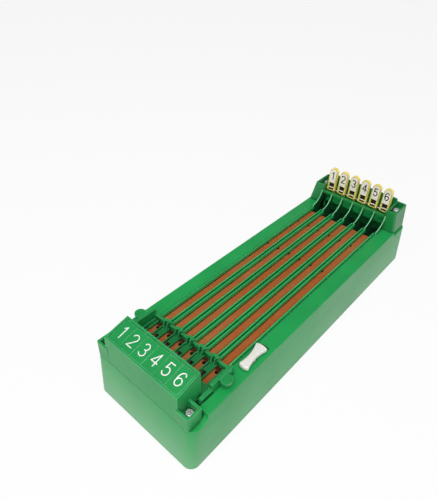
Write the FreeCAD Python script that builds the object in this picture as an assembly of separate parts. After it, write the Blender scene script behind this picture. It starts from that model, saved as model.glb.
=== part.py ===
# Tabletop horse race game: a green case with six lanes, a start gate, a wind-up shaking
# track and six finish flags. Millimetres, +Z up, +Y towards the finish, origin at the
# middle of the surface that the game stands on.
import FreeCAD, Part
import math
import os

from FreeCAD import Vector

# Case
case_length = 380.0
side_shelf_width = 16.1
deck_height = 58.6
deck_thickness = 2.4
deck_edge_round = 1.2
side_draft = 1.2
end_draft = 3.0
far_draft = 5.0
corner_radius = 8.5
far_foot_radius = 4.0
far_top_radius = 12.0
wall = 2.4
rim_height = 0.5
start_step_length = 20.0
start_step_drop = 7.8
start_step_round = 6.5
far_rim_width = 4.5
far_rim_drop = 5.6
far_rim_start = 2.5
boss_radius = 4.2
fit_gap = 0.25

# Underside
base_plate_thickness = 2.4
foot_height = 1.6
foot_radius = 6.0
foot_inset_x = 18.0
foot_inset_y = 45.0

# Lanes
lane_count = 6
lane_pitch = 14.2
lane_width = 9.6
lane_wall = 1.2
lane_web = 0.8
lane_top_rise = 1.9
floor_drop = 3.1
opening_side_gap = 0.8
opening_far_margin = 2.9
rail_lift = 0.5
rail_tie_pitch = 34.0
rail_tie_drop = 0.2
side_foot_drop = 1.2

# Moving track
board_thickness = 2.6
board_side_gap = 0.8
mat_thickness = 0.9
mat_side_gap = 0.2
mat_end_gap = 0.8
mat_notch_length = 3.6
mat_notch_depth = 1.3
mat_notch_places = (35.5, 96.5)
peg_hole_radius = 1.3
peg_hole_inset = 4.8
track_finish_gap = 5.0
track_stall_overlap = 0.4
shake_travel = 0.6
linkage_gap = 0.4

# Number block at the start
number_overhang = 8.4
number_side_gap = 0.4
number_back_rise = 27.4
number_front_rise = 21.4
number_side_draft = 1.3
number_front_draft = 1.3
panel_border = 1.7
panel_depth = 0.7
cell_groove = 0.5
lug_side_step = 4.3
lug_step_gap = 3.0
lug_rise = 7.6
lug_wall = 2.0
seam_height = 0.7
seam_depth = 0.6
pocket_floor_rise = 6.6
screw_from_opening = 3.6
near_screw_inset = 11.6

# Start stalls
stall_width = 6.2
stall_length = 20.4
stall_back_gap = 10.0
stall_top_rise = 0.2
pad_length = 11.4
pad_recess_depth = 2.0

# Start gate
gate_pivot_step = 6.0
gate_pivot_drop = 2.6
gate_pin_radius = 1.25
gate_hub_radius = 3.2
gate_stall_gap = 0.6
gate_rail_gap = 1.2
gate_wall = 2.4
gate_low_rise = 2.9
gate_high_rise = 6.6
gate_lug_half_width = 3.4
gate_blade_gap = 0.9
gate_blade_side_gap = 0.4
gate_tongue_gap = 0.6
gusset_offset = 1.9
gusset_top_depth = 1.2
gusset_foot_depth = 3.8
arm_side_gap = 1.1
arm_width = 3.0
arm_top_rise = 9.4
arm_lift = 0.3
arm_step_lead = 2.9
shank_top_rise = 3.8
shank_end_round = 2.6
ear_radius = 5.3
ear_back = 13.8
ear_offset = 3.4
ear_lobe_radius = 3.6
ear_lobe_back = 6.4
ear_lobe_inset = 2.0
ear_thickness = 2.6
ear_drop = 0.3
slot_side_gap = 0.9
slot_end_gap = 1.8

# Finish block
finish_length = 42.0
finish_front_draft = 2.0
finish_back_draft = 10.0
finish_foot_back = 9.2
finish_foot_radius = 9.0
finish_rise = 23.9
finish_side_inset = 4.8
finish_base_inset = 0.8
finish_bay_wall = 1.8
finish_pocket_depth = 5.9
rear_wall_rise = 3.2
rear_wall_round = 2.2
ledge_rise = 16.4
ledge_setback = 1.7
ledge_thickness = 2.4
ledge_depth = 3.7
far_screw_inset = 22.5
rib_thickness = 1.4
rib_radius = 18.0
rib_land = 0.5
finish_floor_gap = 1.3
finish_floor_drop = 9.0

# Finish flags
flag_width = 10.4
flag_side_gap = 0.8
flag_thickness = 3.6
flag_length = 28.4
flag_foot_gap = 1.6
flag_front_gap = 3.9
flag_axle_setback = 1.8
flag_axle_rise = 1.4
flag_axle_radius = 1.0
flag_hub_radius = 2.2
flag_finger_length = 14.0
flag_finger_width = 3.0
flag_finger_angle = 45.0
flag_recess_width = 6.6
flag_recess_height = 9.1
flag_recess_depth = 2.6
flag_slot_depth = 0.5
flag_plate_margin = 1.2
flag_plate_gap = 0.2
flag_plate_thickness = 0.8
flag_bar_rise = 2.1
flag_bar_height = 1.0
flag_bar_depth = 1.0

# Winding key
key_from_opening = 6.8
key_from_gate = 20.7
key_length = 29.0
key_far_width = 11.4
key_near_width = 9.4
key_waist = 6.2
key_end_bulge = 1.5
key_corner_round = 1.0
key_top_round = 1.2
key_thickness = 3.4
key_rail_gap = 0.5
key_hub_radius = 3.0
key_hub_gap = 0.3
key_turn_angle = 4.0
key_slot_radius = 18.4
key_slot_width = 1.6
key_slot_depth = 1.4
key_slot_half_length = 4.1
shaft_radius = 2.0
shaft_recess = 1.6
running_gap = 0.06
sliding_gap = 0.05

# Wind-up motor
gear_module = 0.8
pinion_teeth = 12
barrel_teeth = 48
wheel_teeth = 40
pressure_angle = 20.0
addendum_share = 0.9
dedendum_share = 1.2
flank_steps = 5
gear_backlash = 0.10
gear_face = 3.0
pinion_extra = 0.5
gear_end_gap = 1.6
wheel_top_gap = 2.0
level_gap = 1.2
barrel_angle = 180.0
middle_angle = 120.0
cam_angle = 133.0
motor_lift = 4.0
motor_to_board_gap = 20.0
motor_plate_thickness = 1.2
motor_plate_margin = 4.8
arbor_radius = 1.5
arbor_end = 0.6
drum_radius = 16.0
drum_wall = 1.0
spring_strip = 0.5
spring_turns = 6
spring_edge_gap = 0.4
cam_radius = 7.0
cam_throw = 0.6
cam_thickness = 3.0
cam_lift = 1.0
cam_cap = 0.8
cam_pin_radius = 1.5
cam_pin_reach = 2.4
fork_lift = 2.8
fork_wall = 2.4
fork_bridge = 3.6
fork_half_width = 9.0
fork_slot_half_width = 5.0

# Posts and leaf springs that carry the track
post_radius = 3.5
post_side_inset = 6.6
post_near_offset = 6.0
post_far_inset = 8.0
leaf_half_width = 6.0
leaf_far_inset = 20.0
leaf_foot_length = 9.0
leaf_foot_thickness = 0.8
leaf_top_gap = 0.6
guide_half_width = 8.0
guide_depth = 3.6

# Screws
screw_head_radius = 3.4
screw_head_height = 2.3
screw_head_round = 1.1
screw_shank_radius = 1.4
screw_length = 12.0
screw_tip_room = 2.0
screw_seat_depth = 1.2
screw_cross_width = 0.8
screw_cross_reach = 2.1
screw_cross_depth = 1.1
screw_turn = 25.0

# How far a cutting shape or a joined piece reaches past a face
past = 1.0

# Heights that follow
shelf_height = deck_height - start_step_drop
floor_height = deck_height - floor_drop
board_top = floor_height - mat_thickness
board_bottom = board_top - board_thickness
lane_top = deck_height + lane_top_rise
rail_bottom = floor_height + rail_lift
finish_floor_top = floor_height - finish_floor_drop
base_plate_top = foot_height + base_plate_thickness
stall_top = deck_height + stall_top_rise
lug_top = deck_height + lug_rise
pocket_floor = shelf_height + pocket_floor_rise
number_back_top = deck_height + number_back_rise
number_front_top = deck_height + number_front_rise
gate_pivot_z = deck_height - gate_pivot_drop
arm_bottom = deck_height + arm_lift
arm_top = deck_height + arm_top_rise
shank_top = deck_height + shank_top_rise
ledge_height = deck_height + ledge_rise
finish_top = deck_height + finish_rise
finish_pocket_floor = finish_top - finish_pocket_depth
flag_foot_z = ledge_height + flag_foot_gap
flag_top_z = flag_foot_z + flag_length
flag_axle_z = ledge_height + flag_axle_rise
flag_recess_top = flag_foot_z + flag_recess_height
key_bottom = lane_top + key_rail_gap
key_top = key_bottom + key_thickness
shaft_top = key_top - shaft_recess
motor_floor = base_plate_top + motor_lift
motor_ceiling = board_bottom - motor_to_board_gap
low_level = motor_floor + motor_plate_thickness + gear_end_gap
high_level = motor_ceiling - wheel_top_gap - gear_face
drum_bottom = low_level + gear_face
drum_top = high_level - level_gap
cam_bottom = motor_ceiling + motor_plate_thickness + cam_lift
cam_top = cam_bottom + cam_thickness
fork_bottom = cam_top + fork_lift

# Widths that follow
track_half_width = lane_count * lane_pitch / 2
opening_half_width = track_half_width + opening_side_gap
half_width = opening_half_width + side_shelf_width
deck_half_width = half_width - side_draft
rail_half_width = (lane_pitch - lane_width) / 2
finger_half_width = (lane_pitch - stall_width) / 2
number_half_width = opening_half_width - number_side_gap
lug_half_width = deck_half_width - lug_side_step
screw_x = opening_half_width + screw_from_opening
arm_inner_x = opening_half_width + arm_side_gap
arm_outer_x = arm_inner_x + arm_width
slot_outer_x = arm_outer_x + slot_side_gap
bay_half_width = (lane_count - 1) * lane_pitch / 2 + flag_width / 2 + flag_side_gap
bay_wall_x = bay_half_width + finish_bay_wall
finish_top_half_width = deck_half_width - finish_side_inset
key_x = opening_half_width + key_from_opening
post_x = track_half_width - post_side_inset
pinion_radius = gear_module * pinion_teeth / 2
barrel_radius = gear_module * barrel_teeth / 2
wheel_radius = gear_module * wheel_teeth / 2

# Places along the length that follow, from the near end to the far end
half_length = case_length / 2
deck_far_y = half_length - far_draft
shelf_share = (shelf_height - rim_height) / (deck_height - rim_height)
shelf_front_y = -half_length + end_draft * shelf_share
number_front_y = shelf_front_y + number_front_draft
near_screw_y = -half_length + near_screw_inset
step_y = -half_length + start_step_length
lug_back_y = step_y - lug_step_gap
number_back_y = step_y + number_overhang
gate_pivot_y = step_y + gate_pivot_step
stall_near_y = number_back_y + stall_back_gap
stall_far_y = stall_near_y + stall_length
arm_step_y = stall_near_y - arm_step_lead
track_near_y = stall_near_y - track_stall_overlap
peg_hole_y = stall_far_y - peg_hole_inset
gate_near_y = stall_far_y + gate_stall_gap
gate_far_y = gate_near_y + gate_wall
rail_near_y = gate_far_y + gate_rail_gap
key_y = gate_far_y + key_from_gate
finish_front_y = half_length - finish_length
finish_top_back_y = half_length - finish_back_draft
finish_foot_back_y = half_length - finish_foot_back
far_rim_y = finish_front_y + far_rim_start
far_screw_y = half_length - far_screw_inset
ledge_y = finish_front_y + ledge_setback
trough_y = ledge_y + ledge_depth
flag_front_y = trough_y + flag_front_gap
flag_axle_y = flag_front_y + flag_axle_setback
opening_far_y = flag_axle_y + opening_far_margin
rib_centre_z = lane_top + rib_radius
rib_reach = math.sqrt(rib_radius ** 2 - (rib_centre_z - ledge_height) ** 2)
rib_foot_y = ledge_y - rib_land - rib_reach
track_far_y = rib_foot_y - track_finish_gap
leaf_places = (peg_hole_y - post_near_offset, track_far_y - leaf_far_inset)
post_places = (peg_hole_y - post_near_offset, track_far_y - post_far_inset)


def lane_x(lane):
    return (lane - (lane_count + 1) / 2) * lane_pitch


def divider_x(divider):
    return (divider - lane_count / 2) * lane_pitch


def box(x0, x1, y0, y1, z0, z1):
    return Part.makeBox(x1 - x0, y1 - y0, z1 - z0, Vector(x0, y0, z0))


def side_box(side, x0, x1, y0, y1, z0, z1):
    low, high = sorted((side * x0, side * x1))
    return box(low, high, y0, y1, z0, z1)


def upright(x, y, z0, z1, radius):
    return Part.makeCylinder(radius, z1 - z0, Vector(x, y, z0), Vector(0, 0, 1))


def crosswise(x0, x1, y, z, radius):
    low, high = sorted((x0, x1))
    return Part.makeCylinder(radius, high - low, Vector(low, y, z), Vector(1, 0, 0))


def fuse(shapes):
    return shapes[0].multiFuse(shapes[1:]).removeSplitter()


def cut_all(shape, cutters):
    return shape.cut(Part.makeCompound(cutters)).removeSplitter()


def polygon_face(points):
    return Part.Face(Part.makePolygon(points + [points[0]]))


def side_profile(points, x0, x1):
    face = polygon_face([Vector(x0, y, z) for y, z in points])
    return face.extrude(Vector(x1 - x0, 0, 0))


def round_outline(half_x, y0, y1, near_radius, z, far_radius=None):
    # A level rectangle with rounded corners
    edges = []
    corners = []
    for sx, sy in ((1, -1), (1, 1), (-1, 1), (-1, -1)):
        x = sx * half_x
        y = y1 if sy > 0 else y0
        radius = near_radius if far_radius is None or sy < 0 else far_radius
        middle = Vector(x - sx * radius, y - sy * radius, z)
        along_x = Vector(x - sx * radius, y, z)
        along_y = Vector(x, y - sy * radius, z)
        diagonal = radius * math.sqrt(0.5)
        on_arc = middle + Vector(sx * diagonal, sy * diagonal, 0)
        first, last = (along_x, along_y) if sx * sy < 0 else (along_y, along_x)
        corners.append((first, on_arc, last))
    for index, (first, on_arc, last) in enumerate(corners):
        following = corners[(index + 1) % len(corners)][0]
        edges.append(Part.Arc(first, on_arc, last).toShape())
        edges.append(Part.LineSegment(last, following).toShape())
    return Part.Wire(edges)


def tapered_block(low, high):
    return Part.makeLoft([low, high], True, True)


def save(name, shape):
    shape.exportStep(os.path.join("parts", name + ".step"))


def case_block(inset, z0, z1):
    # The outer form of the case, drawn in by inset, with the draft of its walls
    wires = []
    for z in (z0, z1):
        share = (z - rim_height) / (deck_height - rim_height)
        half_x = half_width - side_draft * share - inset
        near_y = -half_length + end_draft * share + inset
        far_y = half_length - far_draft * share - inset
        far_radius = far_foot_radius + (far_top_radius - far_foot_radius) * share - inset
        wires.append(round_outline(half_x, near_y, far_y, corner_radius - inset, z, far_radius))
    return tapered_block(wires[0], wires[1])


def block_screw_places():
    near = [(side * screw_x, near_screw_y) for side in (-1, 1)]
    far = [(side * screw_x, far_screw_y) for side in (-1, 1)]
    return near, far


def base_screw_places():
    middle_x = (opening_half_width + deck_half_width - wall) / 2
    near, far = block_screw_places()
    return near + [(-middle_x, 0.0), (middle_x, 0.0)] + far


def boss_top(y):
    return shelf_height if y < step_y else deck_height


def pivot_cheek(side):
    # Solid material beside the slot of a gate arm, holding its pivot pin
    y1 = arm_step_y + slot_end_gap + wall
    z0 = gate_pivot_z - gate_hub_radius - wall
    return side_box(side, slot_outer_x, slot_outer_x + 2 * wall, step_y + fit_gap, y1, z0,
                    deck_height - deck_thickness / 2)


def gate_pin(side):
    outer = slot_outer_x + 2 * wall
    return crosswise(side * arm_inner_x, side * outer, gate_pivot_y, gate_pivot_z, gate_pin_radius)


def arm_slot(side):
    # The slot in the deck in which an arm of the gate swings
    y0 = gate_pivot_y - gate_hub_radius - slot_end_gap
    y1 = arm_step_y + slot_end_gap
    return side_box(side, opening_half_width - past, slot_outer_x, y0, y1, shelf_height, deck_height + past)


def key_slot():
    # A short curved relief in the deck beyond the far end of the key
    low = deck_height - key_slot_depth
    high = deck_height + past
    outer = upright(key_x, key_y, low, high, key_slot_radius + key_slot_width / 2)
    inner = upright(key_x, key_y, low, high, key_slot_radius - key_slot_width / 2)
    window = box(key_x - key_slot_half_length, key_x + key_slot_half_length, key_y,
                 key_y + 2 * key_slot_radius, low, high)
    return outer.cut(inner).common(window)


def far_rim(drop, inset):
    # The lowered strip round the foot of the finish block
    half = deck_half_width - finish_base_inset - far_rim_width - inset
    back = finish_foot_back_y - far_rim_width - inset
    outline = round_outline(half, far_rim_y - case_length, back, wall, 0, finish_foot_radius - far_rim_width)
    core = Part.Face(outline).extrude(Vector(0, 0, 2 * deck_height))
    strip = box(-half_width, half_width, far_rim_y - inset, case_length, deck_height - drop,
                deck_height + past)
    return strip.cut(core)


def step_rounds():
    # The hollow curves, one at each side, where the deck comes down to the near shelf
    centre_y = step_y - start_step_round
    centre_z = shelf_height + start_step_round
    curves = []
    for side in (-1, 1):
        corner = side_box(side, lug_half_width + fit_gap, half_width, centre_y, step_y, shelf_height, centre_z)
        drum = crosswise(side * lug_half_width, side * half_width, centre_y, centre_z, start_step_round)
        curves.append(corner.cut(drum))
    return Part.makeCompound(curves)


def case_shell():
    shell = case_block(0, rim_height, deck_height)
    top_edges = [edge for edge in shell.Edges if edge.BoundBox.ZMin > deck_height - fit_gap]
    shell = shell.makeFillet(min(deck_edge_round, wall / 2), top_edges)
    step = box(-half_width, half_width, -case_length, step_y, shelf_height, deck_height + past)
    shell = shell.cut(step.cut(step_rounds()))
    shell = shell.cut(far_rim(far_rim_drop, 0))
    inner = case_block(wall, rim_height, deck_height - deck_thickness)
    shelf = box(-half_width, half_width, -case_length, step_y + wall, shelf_height - deck_thickness,
                deck_height)
    return shell.cut(inner.cut(shelf).cut(far_rim(far_rim_drop + deck_thickness, wall)))


def make_housing():
    bosses = []
    cuts = []
    for x, y in base_screw_places():
        bosses.append(upright(x, y, base_plate_top, boss_top(y) - deck_thickness / 2, boss_radius))
        cuts.append(upright(x, y, base_plate_top - past, base_plate_top + screw_length, screw_shank_radius))
    near, far = block_screw_places()
    for x, y in near + far:
        cuts.append(upright(x, y, boss_top(y) - screw_length, boss_top(y) + past, screw_shank_radius))
    cuts.append(box(-opening_half_width, opening_half_width, step_y + wall, opening_far_y,
                    shelf_height - wall, deck_height + past))
    for side in (-1, 1):
        cuts.append(arm_slot(side))
        cuts.append(gate_pin(side))
    cuts.append(upright(key_x, key_y, deck_height - 2 * deck_thickness, deck_height + past,
                        shaft_radius + running_gap))
    cuts.append(key_slot())
    shell = fuse([case_shell()] + bosses + [pivot_cheek(side) for side in (-1, 1)])
    return cut_all(shell, cuts)


def make_bottom_plate():
    share = (base_plate_top - rim_height) / (deck_height - rim_height)
    half_x = half_width - wall - fit_gap - side_draft * share
    near_y = -half_length + wall + fit_gap + end_draft * share
    far_y = half_length - wall - fit_gap - far_draft * share
    outline = round_outline(half_x, near_y, far_y, corner_radius - wall, foot_height, far_foot_radius)
    plate = Part.Face(outline).extrude(Vector(0, 0, base_plate_thickness))
    cuts = []
    for x, y in base_screw_places():
        cuts.append(upright(x, y, 0, base_plate_top + past, screw_shank_radius + fit_gap))
        cuts.append(upright(x, y, 0, base_plate_top - screw_seat_depth, screw_head_radius + fit_gap))
    return cut_all(plate, cuts)


def make_feet():
    feet = []
    for side in (-1, 1):
        for end in (-1, 1):
            feet.append(upright(side * (half_width - foot_inset_x), end * (half_length - foot_inset_y),
                                0, foot_height, foot_radius))
    return Part.makeCompound(feet)


def make_divider(number):
    # A double-lipped rail, with a low tongue under the gate that ties it to the stalls
    x = divider_x(number)
    web_top = rail_bottom + lane_web
    rail = box(x - rail_half_width, x + rail_half_width, rail_near_y, rib_foot_y, rail_bottom, lane_top)
    inner = rail_half_width - lane_wall
    groove = box(x - inner, x + inner, rail_near_y - past, rib_foot_y + past, web_top, lane_top + past)
    tongue = box(x - rail_half_width, x + rail_half_width, stall_far_y, rail_near_y, rail_bottom, web_top)
    return fuse([rail.cut(groove), tongue])


def make_outer_rail(side):
    # A single lip beside the outer lane, with a foot and ties that reach to the case
    lip_x = track_half_width - rail_half_width
    lip = side_box(side, lip_x, lip_x + lane_wall, rail_near_y, rib_foot_y, rail_bottom, lane_top)
    foot = side_box(side, lip_x, opening_half_width, rail_near_y, rib_foot_y, rail_bottom,
                    deck_height - side_foot_drop)
    ties = []
    tie_y = rail_near_y + rail_tie_pitch / 2
    while tie_y < rib_foot_y - lane_wall:
        ties.append(side_box(side, lip_x, opening_half_width, tie_y, tie_y + lane_wall, rail_bottom,
                             deck_height - rail_tie_drop))
        tie_y += rail_tie_pitch
    return fuse([lip, foot] + ties)


def make_stalls():
    # A comb of fingers between the start stalls, each with an open pit and a pad
    half = opening_half_width - fit_gap
    comb = [box(-half, half, step_y + wall, stall_near_y, rail_bottom, stall_top)]
    recess_z = stall_top - pad_recess_depth
    pad_y = stall_far_y - pad_length
    cuts = []
    for number in range(lane_count + 1):
        x = divider_x(number)
        low = max(x - finger_half_width, -half)
        high = min(x + finger_half_width, half)
        comb.append(box(low, high, stall_near_y - past, stall_far_y, rail_bottom, stall_top))
        low += lane_wall
        high -= lane_wall
        cuts.append(box(low, high, stall_near_y + lane_wall, pad_y, rail_bottom - past, stall_top + past))
        cuts.append(box(low, low + lane_wall, pad_y - past, stall_far_y + past, recess_z, stall_top + past))
    return cut_all(fuse(comb), cuts)


def number_top(y):
    # Height of the sloping number panel at a place along the length
    share = (y - number_front_y) / (number_back_y - number_front_y)
    return number_front_top + (number_back_top - number_front_top) * share


def number_profile(inset, bottom_near, bottom_far):
    front = number_front_y + inset
    back = number_back_y - inset
    step_back = step_y - inset
    return [(shelf_front_y + inset, bottom_near), (step_back, bottom_near), (step_back, bottom_far),
            (back, bottom_far), (back, number_top(back) - inset), (front, number_top(front) - inset)]


def number_side_trim(side):
    # Wedge that gives a side wall of the number block its draft
    top = number_back_top + wall
    outer = number_half_width + wall
    points = [Vector(side * number_half_width, -case_length, shelf_height),
              Vector(side * (number_half_width - number_side_draft), -case_length, top),
              Vector(side * outer, -case_length, top),
              Vector(side * outer, -case_length, shelf_height)]
    return polygon_face(points).extrude(Vector(0, case_length, 0))


def number_lug(side):
    # A corner lug with one upright edge rounded
    lug = side_box(side, number_half_width - wall, lug_half_width, shelf_front_y, lug_back_y, shelf_height,
                   lug_top)
    corner = Vector(side * lug_half_width, shelf_front_y, (shelf_height + lug_top) / 2)
    edges = [edge for edge in lug.Edges if edge.CenterOfMass.distanceToPoint(corner) < fit_gap]
    return lug.makeFillet(lug_wall, edges)


def make_number_block():
    body = side_profile(number_profile(0, shelf_height, stall_top), -number_half_width, number_half_width)
    body = cut_all(body, [number_side_trim(side) for side in (-1, 1)])
    hollow_half = number_half_width - 2 * wall
    cuts = [side_profile(number_profile(wall, shelf_height - past, stall_top - wall), -hollow_half,
                         hollow_half)]
    lugs = []
    for side in (-1, 1):
        lugs.append(number_lug(side))
        cuts.append(side_box(side, number_half_width - number_side_draft / 2, lug_half_width - lug_wall,
                             shelf_front_y + lug_wall, lug_back_y - lug_wall, pocket_floor,
                             number_back_top))
        cuts.append(upright(side * screw_x, near_screw_y, shelf_height - past, lug_top,
                            screw_shank_radius + fit_gap))
        cuts.append(side_box(side, lug_half_width - seam_depth, half_width, -half_length, step_y,
                             shelf_height - past, shelf_height + seam_height))
    cuts.append(box(-half_width, half_width, -half_length, shelf_front_y + seam_depth,
                    shelf_height - past, shelf_height + seam_height))
    return cut_all(fuse([body] + lugs), cuts + number_panel_cuts())


def number_panel_cuts():
    # A sunk panel with one cell for each number, and a fine groove round each cell
    y0 = number_front_y + panel_border
    y1 = number_back_y - panel_border
    half = number_half_width - number_side_draft - panel_border
    deep = panel_depth + cell_groove
    cuts = [panel_slab(-half, half, y0, y1, panel_depth)]
    cuts.append(panel_slab(-half, half, y1 - cell_groove, y1, deep))
    cuts.append(panel_slab(-half, half, y0, y0 + cell_groove, deep))
    cell = (2 * half - cell_groove) / lane_count
    for number in range(lane_count + 1):
        low = -half + number * cell
        cuts.append(panel_slab(low, low + cell_groove, y0, y1, deep))
    return [fuse(cuts)]


def panel_slab(x0, x1, y0, y1, depth):
    points = [(y0, number_top(y0) - depth), (y1, number_top(y1) - depth), (y1, number_top(y1) + wall),
              (y0, number_top(y0) + wall)]
    return side_profile(points, x0, x1)


def finish_seam():
    # The fine step round the foot of the finish block
    outline = round_outline(deck_half_width - finish_base_inset - seam_depth, finish_front_y + seam_depth,
                            finish_foot_back_y - seam_depth, wall, deck_height - past,
                            finish_foot_radius - seam_depth)
    core = Part.Face(outline).extrude(Vector(0, 0, seam_height + past))
    around = box(-half_width, half_width, finish_front_y - past, half_length, deck_height - past,
                 deck_height + seam_height)
    return around.cut(core)


def finish_shell():
    # A tapered block with tall sides and a lower rear wall, open to the lanes at the front
    base_half = deck_half_width - finish_base_inset
    back = finish_foot_back_y
    top_front = finish_front_y + finish_front_draft
    outer = tapered_block(round_outline(base_half, finish_front_y, back, wall, deck_height,
                                        finish_foot_radius),
                          round_outline(finish_top_half_width, top_front, finish_top_back_y, wall,
                                        finish_top))
    inner = tapered_block(round_outline(base_half - wall, finish_front_y + wall, back - wall, wall / 2,
                                        deck_height - past, finish_foot_radius - wall),
                          round_outline(finish_top_half_width - wall, top_front + wall,
                                        finish_top_back_y - wall, wall / 2,
                                        ledge_height - ledge_thickness))
    front_half = track_half_width + rib_thickness / 2
    bay = bay_half_width
    above = finish_top + past
    before = finish_front_y - past
    cuts = [box(-bay, bay, before, trough_y, ledge_height, above)]
    cuts.append(box(-bay, bay, trough_y, finish_top_back_y - wall, deck_height - past, above))
    cuts.append(box(-front_half, front_half, before, ledge_y, deck_height - past, above))
    cuts.append(box(-bay, bay, ledge_y, trough_y, deck_height - past, ledge_height - ledge_thickness))
    return cut_all(outer, [inner, finish_seam()] + cuts)


def rear_wall():
    # The raised wall behind the flags, which they lean on when they tip back
    wall_box = box(-bay_half_width, bay_half_width, finish_top_back_y - wall, finish_top_back_y,
                   finish_top - wall, finish_top + rear_wall_rise)
    top_ends = [edge for edge in wall_box.Edges
                if abs(edge.CenterOfMass.x) > bay_half_width - fit_gap
                and edge.BoundBox.ZMin > finish_top + rear_wall_rise - fit_gap]
    return wall_box.makeFillet(rear_wall_round, top_ends)


def make_finish_block():
    pieces = [finish_shell(), rear_wall()]
    cuts = [crosswise(-bay_wall_x, bay_wall_x, flag_axle_y, flag_axle_z, flag_axle_radius)]
    for side in (-1, 1):
        pieces.append(upright(side * screw_x, far_screw_y, deck_height, finish_pocket_floor, boss_radius))
        pieces.append(side_box(side, bay_half_width, bay_wall_x, ledge_y, finish_top_back_y - wall / 2,
                               deck_height, finish_top - wall))
        cuts.append(side_box(side, bay_wall_x, finish_top_half_width - lug_wall,
                             finish_front_y + finish_front_draft + lug_wall, finish_top_back_y - lug_wall,
                             finish_pocket_floor, finish_top + past))
        cuts.append(upright(side * screw_x, far_screw_y, deck_height - past, finish_top,
                            screw_shank_radius + fit_gap))
    return cut_all(fuse(pieces), cuts)


def make_finish_floor():
    # A tray hung below the deck, where the lanes run out under the finish
    half = opening_half_width + fit_gap
    low = finish_floor_top - wall
    near = track_far_y + finish_floor_gap
    pieces = [box(-half - wall, half + wall, near, opening_far_y, low, finish_floor_top)]
    pieces.append(box(-half - wall, half + wall, near, near + lane_wall, low, floor_height - lane_web))
    for side in (-1, 1):
        pieces.append(side_box(side, half, half + wall, near, opening_far_y, low,
                               deck_height - deck_thickness))
    return fuse(pieces)


def make_finish_ribs():
    ribs = []
    for number in range(lane_count + 1):
        x = divider_x(number)
        outer = number in (0, lane_count)
        ribs.append(finish_rib(x - rib_thickness / 2, x + rib_thickness / 2, outer))
    return Part.makeCompound(ribs)


def finish_rib(x0, x1, outer):
    # A thin fin whose front edge is a hollow quarter circle from the rail up to the ledge
    diagonal = rib_radius * math.sqrt(0.5)
    foot = Vector(x0, rib_foot_y, lane_top)
    on_arc = Vector(x0, rib_foot_y + diagonal, rib_centre_z - diagonal)
    top = Vector(x0, rib_foot_y + rib_reach, ledge_height)
    corners = [top, Vector(x0, ledge_y, ledge_height)]
    if outer:
        corners.append(Vector(x0, ledge_y, finish_floor_top))
    else:
        under = ledge_height - ledge_thickness
        corners.append(Vector(x0, ledge_y, under))
        corners.append(Vector(x0, trough_y, under))
        corners.append(Vector(x0, trough_y, finish_floor_top))
    corners += [Vector(x0, rib_foot_y, finish_floor_top), foot]
    edges = [Part.Arc(foot, on_arc, top).toShape()]
    for first, last in zip(corners, corners[1:]):
        edges.append(Part.LineSegment(first, last).toShape())
    return Part.Face(Part.Wire(edges)).extrude(Vector(x1 - x0, 0, 0))


def flag_finger(x):
    # The finger under the axle that the winning horse pushes
    finger = box(x - flag_finger_width / 2, x + flag_finger_width / 2, flag_axle_y - flag_hub_radius / 2,
                 flag_axle_y + flag_hub_radius / 2, flag_axle_z - flag_finger_length, flag_axle_z)
    finger.rotate(Vector(x, flag_axle_y, flag_axle_z), Vector(1, 0, 0), flag_finger_angle)
    return finger


def make_flag(number):
    # A frame with a round top, a recess between its legs, a hub on the axle and a finger
    x = lane_x(number)
    half = flag_width / 2
    cap_z = flag_top_z - half
    y0 = flag_front_y
    y1 = y0 + flag_thickness
    blade = box(x - half, x + half, y0, y1, flag_foot_z, cap_z)
    cap = Part.makeCylinder(half, flag_thickness, Vector(x, y0, cap_z), Vector(0, 1, 0))
    hub = crosswise(x - half, x + half, flag_axle_y, flag_axle_z, flag_hub_radius)
    hub_bottom = flag_axle_z - flag_hub_radius
    hub_top = flag_axle_z + flag_hub_radius
    recess_half = flag_recess_width / 2
    recess = box(x - recess_half, x + recess_half, y0 - past, y0 + flag_recess_depth, hub_top,
                 flag_recess_top)
    slot = box(x - recess_half, x + recess_half, y0 - past, y0 + flag_slot_depth, hub_bottom - past,
               hub_top + past)
    hole = crosswise(x - half - past, x + half + past, flag_axle_y, flag_axle_z,
                     flag_axle_radius + running_gap)
    return cut_all(fuse([blade, cap, hub, flag_finger(x)]), [recess, slot, hole])


def make_flag_plate(number):
    # The number plate on a flag, and the bar that crosses the recess below it
    x = lane_x(number)
    half = flag_width / 2 - flag_plate_margin
    z0 = flag_recess_top + flag_plate_gap
    cap_z = flag_top_z - flag_width / 2
    y0 = flag_front_y - flag_plate_thickness
    plate = box(x - half, x + half, y0, flag_front_y, z0, cap_z)
    cap = Part.makeCylinder(half, flag_plate_thickness, Vector(x, y0, cap_z), Vector(0, 1, 0))
    bar_half = flag_recess_width / 2
    bar_z = flag_foot_z + flag_bar_rise
    bar = box(x - bar_half, x + bar_half, flag_front_y, flag_front_y + flag_bar_depth, bar_z,
              bar_z + flag_bar_height)
    return Part.makeCompound([fuse([plate, cap]), bar])


def make_flag_axle():
    return crosswise(-bay_wall_x, bay_wall_x, flag_axle_y, flag_axle_z, flag_axle_radius)


def gate_bar():
    # The low wall across the lanes, with one blade down into each lane
    low_top = deck_height + gate_low_rise
    bar_half = track_half_width - finger_half_width
    bar_bottom = rail_bottom + lane_web + gate_tongue_gap
    blade_half = lane_width / 2 - gate_blade_side_gap
    pieces = [box(-arm_outer_x, arm_outer_x, gate_near_y, gate_far_y, arm_bottom, low_top)]
    pieces.append(box(-bar_half, bar_half, gate_near_y, gate_far_y, bar_bottom, low_top))
    for number in range(1, lane_count + 1):
        x = lane_x(number)
        pieces.append(box(x - blade_half, x + blade_half, gate_near_y, gate_far_y,
                          floor_height + gate_blade_gap, low_top))
    return pieces


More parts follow.
